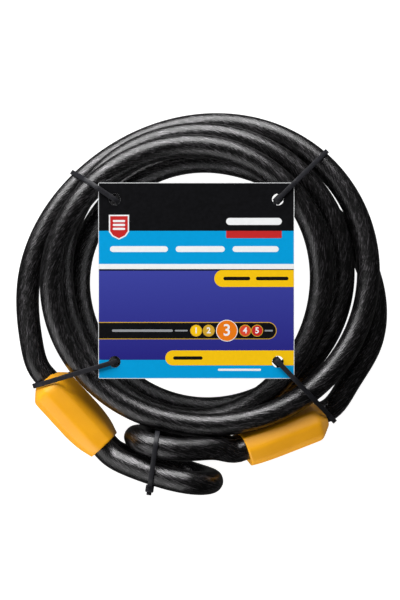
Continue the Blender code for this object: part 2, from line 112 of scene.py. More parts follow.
# The strength scale: digit, its place, its circle's radius, its height and its circle's colour.
SCALE_STEPS = (
    ("1", -0.1, 2.7, 3.0, "yellow"), ("2", 6.3, 2.7, 3.0, "gold"), ("3", 15.6, 5.2, 6.0, "orange"),
    ("4", 24.9, 2.7, 3.0, "coral"), ("5", 31.0, 2.7, 3.0, "red"),
)
SCALE_RIM = 0.35
SCALE_LARGE = 3.0                  # circles larger than this have a white rim
SHIELD = (
    (-44.6, 33.6), (-34.3, 33.6), (-34.3, 25.0), (-36.0, 22.6),
    (-39.45, 20.9), (-42.9, 22.6), (-44.6, 25.0),
)
SHIELD_MIDDLE = (-39.45, 27.3)
SHIELD_INNER = (0.87, 0.89)
# Inks: colour, and how far it varies.
INKS = {
    "black": ((0.004, 0.004, 0.005), 0.3),
    "cyan": ((0.0, 0.335, 0.70), 0.02),
    "white": ((0.88, 0.89, 0.90), 0.02),
    "indigo": ((0.020, 0.018, 0.21), 0.06),
    "yellow": ((0.94, 0.56, 0.005), 0.02),
    "gold": ((0.62, 0.36, 0.03), 0.02),
    "orange": ((0.84, 0.20, 0.008), 0.02),
    "red": ((0.55, 0.022, 0.022), 0.02),
    "coral": ((0.72, 0.07, 0.03), 0.02),
    "grey": ((0.30, 0.31, 0.33), 0.02),
}
# The indigo panel lightens upwards: its top, its bottom and the colour at the top.
INDIGO_GRADIENT = (6.0, -40.0, (0.045, 0.055, 0.34))
CARD_STOCK = ((0.80, 0.81, 0.82), 0.02)
# Bands, tabs and bars: corners, corner radii from the upper right round to the lower right,
# ink, layer.
PRINTED_BOXES = (
    ((-50, 25.4, 50, 50), (0.8, 0.8, 0, 0), "black", 1),
    ((-50, 8.5, 50, 25.4), (0, 0, 0, 0), "cyan", 1),
    ((-50, 5.9, 50, 8.5), (0, 0, 0, 0), "white", 1),
    ((-50, -40.4, 50, 5.9), (0, 0, 0, 0), "indigo", 1),
    ((-50, -50, 50, -40.4), (0, 0, 0.8, 0.8), "cyan", 1),
    ((-50, 5.1, 50, 5.9), (0, 0, 0, 0), "black", 2),
    ((9.2, -3.2, 50, 5.4), (0, 4.2, 4.2, 0), "yellow", 3),
    ((-15.8, -43.2, 50, -35.6), (0, 3.8, 3.8, 0), "yellow", 3),
    ((-50, -29.9, 41.0, -21.1), (4.4, 0, 0, 4.4), "gold", 2),
    ((-50, -29.5, 40.6, -21.5), (4.0, 0, 0, 4.0), "black", 3),
    ((15.2, 21.7, 43.6, 25.4), (0, 0, 0.6, 0.6), "red", 2),
)
# Plain bars in place of the wording: corners, end radius, ink, layer.
PRINTED_BARS = (
    ((-44.0, 14.6, -14.5, 17.6), 1.5, "white", 2),
    ((-10.5, 14.6, 14.5, 17.6), 1.5, "white", 2),
    ((18.5, 14.6, 42.0, 17.6), 1.5, "white", 2),
    ((13.8, 0.2, 27.5, 2.0), 0.9, "black", 4),
    ((30.4, 0.2, 47.0, 2.0), 0.9, "black", 4),
    ((-11.8, -40.3, 3.2, -38.6), 0.85, "black", 4),
    ((-43.0, -26.1, -12.0, -24.9), 0.6, "grey", 4),
    ((11.0, -46.0, 33.0, -44.9), 0.5, "white", 2),
    ((-10.9, -25.9, -4.4, -25.1), 0.4, "grey", 4),
    ((34.8, -25.9, 39.0, -25.1), 0.4, "grey", 4),
    ((15.2, 28.4, 43.6, 32.0), 1.8, "white", 2),
    ((-42.6, 29.85, -36.3, 30.95), 0.5, "white", 4),
    ((-42.6, 27.85, -36.3, 28.95), 0.5, "white", 4),
    ((-42.6, 25.85, -36.3, 26.95), 0.5, "white", 4),
)

# Ties
TIE_WIDTH = 2.5 * MM
TIE_THICKNESS = 1.1 * MM
TIE_HEAD = Vector((5.0, 4.2, 3.6)) * MM
TIE_TAIL = 1.6 * MM
TIE_EDGE = 0.28 * MM               # rounding of the strap's long edges
HEAD_ROUNDING = 0.5 * MM
TAIL_ROUNDING = 0.2 * MM
STRAP_STEP = 0.9 * MM
STRAP_CLEARANCE = 0.05 * MM
ROUND_SIDES = 64
COVER_CORNER = 0.1 * MM            # the straps go round the covers' and card's edges this tightly
CARD_CORNER = 0.3 * MM
SHARP_ANGLE = math.radians(40)     # sharper edges than this stay sharp

# The camera looks straight down on the coil.
CAMERA_PLACE = Vector((-0.52, -13.57, 860.0)) * MM
CAMERA_LENS = 96.55
CAMERA_SENSOR = 36.0
CAMERA_CLIP = 20.0

# The studio: place, width and height, and power of each light, aimed at the middle
LIGHTS = {
    "key": ((-0.28, 1.05, 0.50), (1.7, 1.1), 36.0),
    "front": ((-0.75, -0.85, 0.75), (2.2, 1.4), 12.0),
    "cover_front": ((-0.35, -1.05, 0.55), (1.4, 0.8), 12.0),
}
COVERS_ONLY = ("cover_front",)     # these lights fall on the covers alone
WORLD_STRENGTH = 0.03
FLOOR_HALF = 3.0
FLOOR_DROP = 0.2 * MM

# The coil's stations, clockwise from the left every 45 degrees: distance from the middle, height.
COIL_START_ANGLE = 180.0
COIL_STATION_ANGLE = 45.0
COIL_TURNS = (
    (
        (90.3, 11.4), (79.0, 7.5), (79.1, 7.5), (85.6, 13.4),
        (87.3, 21.2), (83.0, 28.4), (77.8, 32.6), (78.2, 32.0),
    ), (
        (76.9, 31.8), (70.4, 32.2), (65.7, 31.4), (62.8, 31.2),
        (62.0, 30.6), (67.2, 23.8), (75.9, 19.4), (74.0, 19.5),
    ), (
        (72.8, 19.4), (73.6, 19.6), (73.0, 19.6), (73.6, 19.9),
        (74.4, 18.8), (73.0, 11.0), (71.0, 7.5), (67.6, 7.5),
    ), (
        (64.6, 7.5), (60.6, 7.5), (59.8, 7.5), (66.0, 7.5), (89.2, 7.5),
    ),
)
# Where the coil leaves the covers: angle, distance from the middle, height.
COIL_LEAD_IN = (202.5, 96.0, 16.4)
COIL_LEAD_OUT = ((-1102.5, 97.2, 7.5), (-1117.0, 97.2, 7.6))
LEFT_COVER = dict(
    cable_end=(-80.9, -55.2, 24.6), eye_end=(-50.1, -88.7, 24.6), lean=-0.12, coil_side=-1, roll=15.0)
RIGHT_COVER = dict(
    cable_end=(63.8, -74.2, 14.2), eye_end=(23.7, -89.1, 21.0), lean=0.12, coil_side=-1, roll=-15.0)
# Each eye's legs: a middle point, and how far each leg leans and rises from it.
LEFT_EYE = (
    (-38.0, -96.7, 25.0, 0.9, 9.4), (-26.3, -100.4, 25.0, 1.2, 13.1), (-16.0, -103.2, 25.0, 1.2, 16.0),
    (-7.2, -105.3, 25.0, 0.9, 16.4), (0.4, -106.8, 25.0, 0.5, 12.0),
)
LEFT_EYE_TIP = (5.6, -107.4, 25.0)
RIGHT_EYE = (
    (9.6, -89.4, 23.6, 0.8, 8.8), (-4.0, -88.9, 24.0, 1.0, 13.6), (-14.0, -88.1, 24.2, 1.4, 16.2),
    (-22.4, -87.0, 24.8, 1.2, 16.0), (-29.4, -85.7, 25.0, 0.7, 11.6),
)
RIGHT_EYE_TIP = (-34.0, -84.6, 25.0)
CORNER_TIES = {
    "top_left": ((-1, 1), 146.0),
    "top_right": ((1, 1), 45.0),
    "bottom_left": ((-1, -1), 196.9),
    "bottom_right": ((1, -1), -46.1),
}
CORNER_TIE_REACH = 62.0 * MM
CORNER_HEAD_HEIGHT = 22.0 * MM
EYE_TIE_POINT = Vector((-24.2, -95.6)) * MM
EYE_TIE_DIRECTION = -98.0
EYE_TIE_REACH = 16.0 * MM
EYE_TIE_LOWEST = 25.0 * MM


# Node materials

class Nodes:
    """A small helper for building a material's nodes."""

    def __init__(self, name):
        self.material = bpy.data.materials.new(name)
        self.material.use_nodes = True
        self.tree = self.material.node_tree
        self.shader = self.tree.nodes["Principled BSDF"]

    def add(self, kind, **settings):
        node = self.tree.nodes.new(kind)
        for key, value in settings.items():
            setattr(node, key, value)
        return node

    def put(self, socket, value):
        if isinstance(value, bpy.types.NodeSocket):
            self.tree.links.new(value, socket)
        else:
            socket.default_value = value

    def set(self, **values):
        for name, value in values.items():
            self.put(self.shader.inputs[name.replace("_", " ")], value)

    def math(self, operation, *values, clamp=False):
        node = self.add("ShaderNodeMath", operation=operation, use_clamp=clamp)
        for socket, value in zip(node.inputs, values):
            self.put(socket, value)
        return node.outputs[0]

    def mapped(self, vector, scale=(1, 1, 1), rotation=(0, 0, 0)):
        node = self.add("ShaderNodeMapping")
        self.put(node.inputs["Vector"], vector)
        node.inputs["Scale"].default_value = scale
        node.inputs["Rotation"].default_value = rotation
        return node.outputs[0]

    def noise(self, vector, scale, detail=2.0, roughness=0.5, distortion=0.0):
        node = self.add("ShaderNodeTexNoise")
        self.put(node.inputs["Vector"], vector)
        node.inputs["Scale"].default_value = scale
        node.inputs["Detail"].default_value = detail
        node.inputs["Roughness"].default_value = roughness
        node.inputs["Distortion"].default_value = distortion
        return node.outputs["Fac"]

    def ramp(self, value, stops):
        node = self.add("ShaderNodeValToRGB")
        self.put(node.inputs["Fac"], value)
        elements = node.color_ramp.elements
        while len(elements) < len(stops):
            elements.new(0.5)
        for element, (place, colour) in zip(elements, stops):
            element.position = place
            element.color = (*colour, 1.0)
        return node.outputs["Color"]

    def bump(self, height, strength, distance):
        node = self.add("ShaderNodeBump")
        self.put(node.inputs["Height"], height)
        node.inputs["Strength"].default_value = strength
        node.inputs["Distance"].default_value = distance
        return node.outputs["Normal"]

    def place(self):
        """The object's own coordinates, in millimetres."""
        return self.mapped(self.add("ShaderNodeTexCoord").outputs["Object"], scale=(1000, 1000, 1000))


def sheath_material():
    """Smoked PVC with twisted steel strands showing through it."""
    n = Nodes("sheath_smoked_pvc")
    uv = n.add("ShaderNodeUVMap").outputs["UV"]      # millimetres along, and round
    twisted = n.mapped(uv, rotation=(0, 0, math.radians(-15)))
    threads = n.noise(n.mapped(twisted, scale=(0.22, 1.5, 1)), 1.0, 2.0, 0.55, 0.2)
    glints = n.noise(n.mapped(twisted, scale=(0.45, 2.4, 1)), 1.0, 1.0, 0.5)
    bundles = n.noise(n.mapped(twisted, scale=(0.06, 0.36, 1)), 1.0, 2.0, 0.6, 0.2)
    mixed = n.math("ADD", n.math("MULTIPLY", threads, 0.5), n.math("MULTIPLY", glints, 0.25))
    mixed = n.math("ADD", mixed, n.math("MULTIPLY", bundles, 0.25))
    colour = n.ramp(mixed, (
        (0.43, (0.001, 0.001, 0.0012)), (0.50, (0.006, 0.0055, 0.006)),
        (0.56, (0.048, 0.044, 0.048)), (0.66, (0.15, 0.14, 0.152))))
    n.set(Base_Color=colour, Metallic=0.85, Roughness=0.40)
    n.set(Coat_Weight=1.0, Coat_Roughness=0.27, Coat_IOR=1.55)
    n.set(Normal=n.bump(mixed, 0.5, 0.0004))
    n.set(Coat_Normal=n.bump(mixed, 0.5, 0.0005))
    return n.material


def strand_material():
    n = Nodes("strand_steel")
    streaks = n.noise(n.mapped(n.place(), scale=(0.4, 0.4, 0.4)), 2.0, 4.0, 0.6)
    n.set(Base_Color=n.ramp(streaks, ((0.3, (0.25, 0.25, 0.26)), (0.7, (0.58, 0.58, 0.60)))))
    n.set(Metallic=1.0, Roughness=0.34)
    return n.material


def cover_material():
    """Yellow-orange moulded plastic with a faint mottle and handling marks."""
    n = Nodes("cover_moulded_plastic")
    place = n.place()
    mottle = n.noise(place, 0.055, 3.0, 0.55)
    marks = n.noise(n.mapped(place, scale=(1, 1, 0.3)), 0.5, 4.0, 0.7)
    colour = n.ramp(mottle, ((0.25, (0.70, 0.298, 0.004)), (0.75, (0.81, 0.362, 0.006))))
    rough = n.math("ADD", 0.36, n.math("MULTIPLY", marks, 0.16))
    n.set(Base_Color=colour, Roughness=rough, Specular_IOR_Level=0.3)
    n.set(Normal=n.bump(n.noise(place, 1.6, 3.0), 0.12, 0.0002))
    return n.material


def tie_material():
    n = Nodes("tie_black_nylon")
    place = n.place()
    grain = n.noise(place, 1.2, 3.0, 0.6)
    n.set(Base_Color=n.ramp(grain, ((0.3, (0.006, 0.006, 0.008)), (0.7, (0.018, 0.018, 0.023)))))
    n.set(Roughness=n.math("ADD", 0.36, n.math("MULTIPLY", grain, 0.16)), Specular_IOR_Level=0.35)
    n.set(Normal=n.bump(n.noise(place, 2.5, 2.0), 0.15, 0.0001))
    return n.material


def aluminium_material():
    n = Nodes("ferrule_pressed_aluminium")
    scratches = n.noise(n.mapped(n.place(), scale=(1.0, 1.0, 0.15)), 1.5, 4.0, 0.6)
    n.set(Base_Color=n.ramp(scratches, ((0.3, (0.55, 0.56, 0.58)), (0.7, (0.78, 0.79, 0.81)))))
    n.set(Metallic=1.0, Roughness=n.math("ADD", 0.25, n.math("MULTIPLY", scratches, 0.2)))
    return n.material


def print_material(name, colour, spread, gradient=None):
    """Ink on coated card: an even colour with a faint paper mottle, or a gradient from top to bottom."""
    n = Nodes("print_" + name)
    place = n.place()
    mottle = n.noise(place, 0.6, 3.0, 0.6)
    if gradient:
        split = n.add("ShaderNodeSeparateXYZ")
        n.put(split.inputs[0], place)
        top, bottom, top_colour = gradient
        share = n.math("DIVIDE", n.math("SUBTRACT", split.outputs["Y"], bottom), top - bottom, clamp=True)
        share = n.math("ADD", share, n.math("MULTIPLY", n.math("SUBTRACT", mottle, 0.5), spread))
        tinted = n.ramp(share, ((0.0, colour), (1.0, top_colour)))
    else:
        darker = tuple(c * (1 - spread) for c in colour)
        lighter = tuple(min(1.0, c * (1 + spread)) for c in colour)
        tinted = n.ramp(mottle, ((0.35, darker), (0.65, lighter)))
    n.set(Base_Color=tinted, Roughness=0.42, Specular_IOR_Level=0.12)
    n.set(Normal=n.bump(n.noise(place, 0.08, 2.0), 0.04, 0.0002))
    return n.material


def floor_material():
    n = Nodes("floor_white")
    soft = n.noise(n.place(), 0.004, 2.0)
    n.set(Base_Color=n.ramp(soft, ((0.3, (0.36, 0.36, 0.36)), (0.7, (0.38, 0.38, 0.38)))), Roughness=0.9)
    n.set(Emission_Color=(1.0, 1.0, 1.0, 1.0), Emission_Strength=0.95)
    return n.material


# The cable's route, as the part's own

def clamped_spline(points, start, end):
    """A smooth curve through points that leaves and arrives in the directions given."""
    points = np.array(points, dtype=float)
    spans = np.linalg.norm(np.diff(points, axis=0), axis=1)
    slopes = np.diff(points, axis=0) / spans[:, None]
    count = len(points)
    matrix = np.eye(count)
    right = np.zeros((count, 3))
    right[0] = np.array(start)
    right[-1] = np.array(end)
    for i in range(1, count - 1):
        matrix[i, i - 1] = spans[i]
        matrix[i, i] = 2.0 * (spans[i - 1] + spans[i])
        matrix[i, i + 1] = spans[i - 1]
        right[i] = 3.0 * (spans[i] * slopes[i - 1] + spans[i - 1] * slopes[i])
    tangents = np.linalg.solve(matrix, right)

    def at(index, share):
        span = spans[index]
        first = (1 + 2 * share) * (1 - share) ** 2 * points[index]
        last = share ** 2 * (3 - 2 * share) * points[index + 1]
        leaving = share * (1 - share) ** 2 * span * tangents[index]
        arriving = share ** 2 * (share - 1) * span * tangents[index + 1]
        return Vector(first + last + leaving + arriving)

    return at


def sample_spline(points, start, end, parts):
    at = clamped_spline(points, start, end)
    samples = [Vector(points[0])]
    for index in range(len(points) - 1):
        samples += [at(index, (k + 1) / parts) for k in range(parts)]
    return samples


def polar(angle, radius, height):
    turn = math.radians(angle)
    return Vector((radius * math.cos(turn), radius * math.sin(turn), height)) * MM


def coil_points():
    stations = [COIL_LEAD_IN]
    angle = COIL_START_ANGLE
    for turn in COIL_TURNS:
        for radius, height in turn:
            stations.append((angle, radius, height))
            angle -= COIL_STATION_ANGLE
    stations += COIL_LEAD_OUT
    ends = [Vector(stations[1]) - Vector(stations[0]), Vector(stations[-1]) - Vector(stations[-2])]
    at = clamped_spline(stations, ends[0].normalized(), ends[1].normalized())
    points = []
    for index in range(len(stations) - 1):
        reach = stations[index][0] - stations[index + 1][0]
        count = max(1, round(reach / STEP_ANGLE))
        for k in range(count):
            wanted = stations[index][0] - reach * k / count
            low, high = 0.0, 1.0
            for _ in range(BISECTIONS):
                middle = (low + high) / 2
                if at(index, middle)[0] > wanted:
                    low = middle
                else:
                    high = middle
            points.append(polar(*at(index, low)))
    points.append(polar(*stations[-1]))
    return points


def cover_frame(cover):
    start = Vector(cover["cable_end"]) * MM
    axis = (Vector(cover["eye_end"]) * MM - start).normalized()
    side = axis.cross(Vector((0, 0, 1))).normalized()
    across = Vector((0, 0, 1)) - side * cover["lean"]
    across = (across - axis * across.dot(axis)).normalized()
    thin = axis.cross(across)
    rotation = Matrix((across, thin, axis)).transposed().to_4x4()
    return Matrix.Translation(start) @ rotation


def leg_point(cover, side, along):
    return cover_frame(cover) @ Vector((side * LEG_OFFSET, 0.0, along))


def eye_points(cover, stations, tip):
    side = cover["coil_side"]
    points = [leg_point(cover, side, COVER_LENGTH + LEG_STRAIGHT)]
    points += [Vector((x, y - side * lean, z + side * rise)) * MM for x, y, z, lean, rise in stations]
    points.append(Vector(tip) * MM)
    back = [Vector((x, y + side * lean, z - side * rise)) * MM for x, y, z, lean, rise in stations]
    points += reversed(back)
    points.append(leg_point(cover, -side, COVER_LENGTH + LEG_STRAIGHT))
    return points


def axis_of(cover):
    return (cover_frame(cover).to_3x3() @ Vector((0, 0, 1))).normalized()


def smooth(points, start, end):
    return sample_spline(points, start, end, SPLINE_PARTS)


def even(points, step):
    """The same line with points an even distance apart."""
    line = np.array([tuple(p) for p in points])
    lengths = np.concatenate([[0.0], np.cumsum(np.linalg.norm(np.diff(line, axis=0), axis=1))])
    count = max(2, int(round(lengths[-1] / step)))
    wanted = np.linspace(0.0, lengths[-1], count + 1)
    return [Vector([np.interp(w, lengths, line[:, k]) for k in range(3)]) for w in wanted]


def line_length(points):
    return sum((b - a).length for a, b in zip(points, points[1:]))


def whole_routes():
    """The smooth middle line of the coil and of each eye, from inside the covers."""
    left, right = LEFT_COVER, RIGHT_COVER
    ls, rs = left["coil_side"], right["coil_side"]
    coil = [leg_point(left, ls, -LEG_STRAIGHT), *coil_points(), leg_point(right, rs, -LEG_STRAIGHT)]
    coil = smooth(coil, -axis_of(left), axis_of(right))
    left_eye = smooth(eye_points(left, LEFT_EYE, LEFT_EYE_TIP), axis_of(left), -axis_of(left))
    right_eye = smooth(eye_points(right, RIGHT_EYE, RIGHT_EYE_TIP), axis_of(right), -axis_of(right))
    return coil, left_eye, right_eye


# Meshes

def link_object(name, data):
    item = bpy.data.objects.new(name, data)
    bpy.context.scene.collection.objects.link(item)
    return item


def finished_mesh(name, body):
    """A mesh from a bmesh, which is freed."""
    mesh = bpy.data.meshes.new(name)
    body.to_mesh(mesh)
    body.free()
    return mesh


def baked_mesh(item):
    """The mesh an object ends up with, where it stands. The object itself is removed."""
    bpy.context.view_layer.update()
    evaluated = item.evaluated_get(bpy.context.evaluated_depsgraph_get())
    mesh = bpy.data.meshes.new_from_object(evaluated)
    mesh.transform(item.matrix_world)
    bpy.data.objects.remove(item, do_unlink=True)
    return mesh


def mesh_object(name, vertices, faces, material, uvs=None):
    mesh = bpy.data.meshes.new(name)
    mesh.from_pydata([tuple(v + COIL_CENTRE) for v in vertices], [], faces)
    mesh.materials.append(material)
    if uvs is not None:
        layer = mesh.uv_layers.new(name="UVMap")
        for loop, uv in zip(layer.data, uvs):
            loop.uv = uv
    mesh.shade_smooth()
    item = link_object(name, mesh)
    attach(item, "root")
    return item


def line_frames(line):
    """At each point of a line: its direction and two directions across it that don't twist."""
    count = len(line)
    ways = [(line[min(i + 1, count - 1)] - line[max(i - 1, 0)]).normalized() for i in range(count)]
    first = ways[0].cross(Vector((0, 0, 1))).normalized()
    frames = []
    for way in ways:
        first = (first - way * first.dot(way)).normalized()
        frames.append((way, first, way.cross(first)))
    return frames


def tube_rings(line, frames, radius, sides, circle=0.0, lay=1.0, phase=0.0, step=0.0):
    """Rings of points round a line, or round a strand that winds about it."""
    rings = []
    for i, (point, (_, one, two)) in enumerate(zip(line, frames)):
        wind = 2 * math.pi * (step * i / lay) + phase
        middle = point + (one * math.cos(wind) + two * math.sin(wind)) * circle
        ring = []
        for k in range(sides):
            turn = 2 * math.pi * k / sides
            ring.append(middle + (one * math.cos(turn) + two * math.sin(turn)) * radius)
        rings.append(ring)
    return rings


def add_sheath(name, line, material):
    """A hollow sheath with closed rims, and coordinates in millimetres along and round it."""
    line = even(line, RING_STEP)
    frames = line_frames(line)
    outer = tube_rings(line, frames, CABLE_RADIUS, CABLE_SIDES)
    inner = tube_rings(line, frames, SHEATH_INSIDE, CABLE_SIDES)
    vertices = [p for ring in outer + inner for p in ring]
    sides, rows = CABLE_SIDES, len(outer)
    start_inner = rows * sides
    faces, uvs = [], []
    girth = 2 * math.pi * CABLE_RADIUS / MM

    def corner(row, k):
        return (row * RING_STEP / MM, girth * k / sides)

    for row in range(rows - 1):
        for k in range(sides):
            n = (k + 1) % sides
            a, b = row * sides, (row + 1) * sides
            quad_uv = [corner(row, k), corner(row, k + 1), corner(row + 1, k + 1), corner(row + 1, k)]
            faces.append((a + k, a + n, b + n, b + k))
            uvs += quad_uv
            faces.append((start_inner + a + k, start_inner + b + k, start_inner + b + n, start_inner + a + n))
            uvs += [quad_uv[0], quad_uv[3], quad_uv[2], quad_uv[1]]
    for row, flip in ((0, True), (rows - 1, False)):
        for k in range(sides):
            n = (k + 1) % sides
            a, b = row * sides, start_inner + row * sides
            quad = (a + k, a + n, b + n, b + k)
            faces.append(quad[::-1] if flip else quad)
            uvs += [corner(row, k)] * 4
    return mesh_object(name, vertices, faces, material, uvs)


def add_core(name, line, material):
    """Six wire strands wound round a seventh."""
    line = even(line, CORE_STEP)
    frames = line_frames(line)
    step = (line[1] - line[0]).length
    sides = STRAND_SIDES
    vertices, faces = [], []
    for strand in range(OUTER_STRANDS + 1):
        circle = 0.0 if strand == OUTER_STRANDS else STRAND_CIRCLE
        phase = 2 * math.pi * strand / OUTER_STRANDS
        rings = tube_rings(line, frames, STRAND_RADIUS, sides, circle, STRAND_LAY, phase, step)
        base = len(vertices)
        vertices += [p for ring in rings for p in ring]
        for row in range(len(rings) - 1):
            for k in range(sides):
                n = (k + 1) % sides
                a, b = base + row * sides, base + (row + 1) * sides
                faces.append((a + k, a + n, b + n, b + k))
        last = base + (len(rings) - 1) * sides
        faces.append(tuple(base + k for k in reversed(range(sides))))
        faces.append(tuple(last + k for k in range(sides)))
    return mesh_object(name, vertices, faces, material)


# Covers

def flats_reach(turn, inset):
    """How far a cover's faceted outside reaches at an angle, its long edges slightly rounded."""
    total = 0.0
    for facing, distance in COVER_FLATS:
        share = math.cos(turn - math.radians(facing)) / (distance - inset)
        total += max(0.0, share) ** FACET_SHARPNESS
    return total ** (-1.0 / FACET_SHARPNESS)


def oval_reach(turn, radius):
    """How far an oval round both legs reaches at an angle."""
    half = LEG_OFFSET / MM
    across, up = abs(math.cos(turn)), abs(math.sin(turn))
    if radius * across <= half * up:
        return radius / up
    return half * across + math.sqrt(radius ** 2 - (half * up) ** 2)


def prism(outline, low, high):
    """A closed prism from an outline, along Z."""
    body = bmesh.new()
    bottom = body.faces.new([body.verts.new((x, y, low)) for x, y in outline])
    grown = bmesh.ops.extrude_face_region(body, geom=[bottom])["geom"]
    top = [item for item in grown if isinstance(item, bmesh.types.BMVert)]
    bmesh.ops.translate(body, vec=(0, 0, high - low), verts=top)
    bmesh.ops.recalc_face_normals(body, faces=body.faces)
    return link_object("prism", finished_mesh("prism", body))


def pocket_outline():
    """The slot in a cover that holds the ferrule and the eye's two legs."""
    outline = []
    for middle, first in ((LEG_OFFSET, -90), (-LEG_OFFSET, 90)):
        for k in range(POCKET_SIDES + 1):
            turn = math.radians(first + 180 * k / POCKET_SIDES)
            outline.append((middle + POCKET_RADIUS * math.cos(turn), POCKET_RADIUS * math.sin(turn)))
    return outline


def cover_outside(name, roll, closing):
    """The solid outside of a cover, standing along Z."""
    body = bmesh.new()
    rings = []
    for along, inset, mouth in COVER_STATIONS:
        ring = []
        for k in range(COVER_SIDES):
            turn = 2 * math.pi * k / COVER_SIDES
            outside = flats_reach(turn - roll, inset)
            closed = min(outside, oval_reach(turn, MOUTH_RADIUS - inset))
            reach = outside + (closed - outside) * mouth * closing
            x, y = reach * math.cos(turn), reach * math.sin(turn)
            ring.append(body.verts.new((x * MM, y * MM, along * MM)))
        rings.append(ring)
    for low, high in zip(rings, rings[1:]):
        for k in range(COVER_SIDES):
            n = (k + 1) % COVER_SIDES
            body.faces.new((low[k], low[n], high[n], high[k]))
    body.faces.new(rings[0][::-1])
    body.faces.new(rings[-1])
    return finished_mesh(name, body)


def add_cover(node, cover, material, closing):
    """A moulded cover: rounded facets, a mouth that closes in round the eye's legs, real pockets."""
    mesh = cover_outside(node, math.radians(cover["roll"]), closing)
    bore = round_outline(cover["coil_side"] * LEG_OFFSET, 0.0, CABLE_RADIUS + GAP, BORE_SIDES)
    for cutter in (
            prism(pocket_outline(), POCKET_START, COVER_LENGTH + CUT_PAST),
            prism(bore, -CUT_PAST, POCKET_START + CUT_OVERLAP)):
        mesh = cut_with(mesh, cutter)
        bpy.data.objects.remove(cutter, do_unlink=True)
    mesh.transform(Matrix.Translation(COIL_CENTRE) @ cover_frame(cover))
    mesh.materials.clear()
    mesh.materials.append(material)
    mesh.shade_smooth()
    mesh.set_sharp_from_angle(angle=SHARP_ANGLE)
    item = link_object(node + "_moulding", mesh)
    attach(item, "root")
    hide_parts(node)
    return item


# Card print

def rounded_box(x0, y0, x1, y1, radii):
    """An outline from a lower left to an upper right corner, with the four corners' radii."""
    corners = ((x1, y1, radii[0]), (x0, y1, radii[1]), (x0, y0, radii[2]), (x1, y0, radii[3]))
    outline = []
    for quarter, (x, y, radius) in enumerate(corners):
        radius = max(radius, SQUARE_CORNER)
        cx = x - radius if quarter in (0, 3) else x + radius
        cy = y - radius if quarter in (0, 1) else y + radius
        for k in range(CORNER_STEPS + 1):
            turn = math.pi / 2 * (quarter + k / CORNER_STEPS)
            outline.append((cx + radius * math.cos(turn), cy + radius * math.sin(turn)))
    return outline


def round_outline(x, y, radius, count=CIRCLE_SIDES):
    turns = [2 * math.pi * k / count for k in range(count)]
    return [(x + radius * math.cos(t), y + radius * math.sin(t)) for t in turns]


def flat_mesh(outline, low, high):
    """A thin plate from a closed outline in millimetres, between two heights in metres."""
    curve = bpy.data.curves.new("outline", "CURVE")
    curve.dimensions = "2D"
    curve.fill_mode = "BOTH"
    curve.extrude = (high - low) / 2
    spline = curve.splines.new("POLY")
    spline.points.add(len(outline) - 1)
    for place, (x, y) in zip(spline.points, outline):
        place.co = (x * MM, y * MM, 0.0, 1.0)
    spline.use_cyclic_u = True
    item = link_object("outline", curve)
    item.location = (0, 0, (low + high) / 2)
    mesh = baked_mesh(item)
    work = bmesh.new()
    work.from_mesh(mesh)
    bmesh.ops.remove_doubles(work, verts=work.verts, dist=WELD)
    bmesh.ops.recalc_face_normals(work, faces=work.faces)
    work.to_mesh(mesh)
    work.free()
    return mesh


def digit_mesh(digit, x, y, height, low, high):
    text = bpy.data.curves.new("digit", "FONT")
    text.body = digit
    text.size = height * DIGIT_SCALE * MM
    text.align_x = "CENTER"
    text.align_y = "CENTER"
    text.extrude = (high - low) / 2
    text.offset = DIGIT_BOLDNESS
    item = link_object("digit", text)
    item.location = (x * MM, y * MM, (low + high) / 2)
    return baked_mesh(item)


def join_meshes(name, meshes_with_materials):
    """One object from several meshes, each keeping its own material."""
    joined = bmesh.new()
    mesh = bpy.data.meshes.new(name)
    materials = []
    for part, material in meshes_with_materials:
        if material not in materials:
            materials.append(material)
            mesh.materials.append(material)
        index = materials.index(material)
        before = len(joined.faces)
        joined.from_mesh(part)
        joined.faces.ensure_lookup_table()
        for face in joined.faces[before:]:
            face.material_index = index
            face.smooth = False
    joined.to_mesh(mesh)
    joined.free()
    return link_object(name, mesh)


def hole_places():
    return [(sx * HOLE_FROM_MIDDLE.x, sy * HOLE_FROM_MIDDLE.y) for sx in (-1, 1) for sy in (-1, 1)]


def make_hole_cutter():
    """Four upright rods where the card's holes are."""
    body = bmesh.new()
    for x, y in hole_places():
        bmesh.ops.create_cone(
            body, cap_ends=True, segments=HOLE_SIDES, radius1=HOLE_RADIUS, radius2=HOLE_RADIUS,
            depth=HOLE_CUT_DEPTH, matrix=Matrix.Translation((x, y, CARD_CENTRE.z)))
    return link_object("hole_cutter", finished_mesh("hole_cutter", body))


def reaches_hole(outline):
    """Whether an outline in millimetres comes near enough to a hole to need cutting."""
    xs, ys = zip(*outline)
    near = HOLE_RADIUS / MM
    return any(
        min(xs) - near < x / MM < max(xs) + near and min(ys) - near < y / MM < max(ys) + near
        for x, y in hole_places())


def cut_with(mesh, cutter):
    item = link_object("uncut", mesh)
    cut = item.modifiers.new("holes", "BOOLEAN")
    cut.operation = "DIFFERENCE"
    cut.solver = "EXACT"
    cut.object = cutter
    return baked_mesh(item)


def printed_shapes():
    """Every printed outline, in millimetres from the card's middle, with its ink and its layer."""
    shapes = [(rounded_box(*box, radii), ink, layer) for box, radii, ink, layer in PRINTED_BOXES]
    (mx, my), (narrower, lower) = SHIELD_MIDDLE, SHIELD_INNER
    inner = [(mx + (x - mx) * narrower, my + (y - my) * lower) for x, y in SHIELD]
    shapes += [(SHIELD, "white", 2), (inner, "red", 3)]
    for _, x, radius, _, ink in SCALE_STEPS:
        rim = "white" if radius > SCALE_LARGE else "gold"
        shapes.append((round_outline(x, SCALE_MIDDLE, radius + SCALE_RIM), rim, CIRCLE_LAYER - 1))
        shapes.append((round_outline(x, SCALE_MIDDLE, radius), ink, CIRCLE_LAYER))
    for box, radius, ink, layer in PRINTED_BARS:
        shapes.append((rounded_box(*box, [radius] * 4), ink, layer))
    return shapes


def within_print(value):
    return max(-PRINT_EDGE, min(PRINT_EDGE, value))


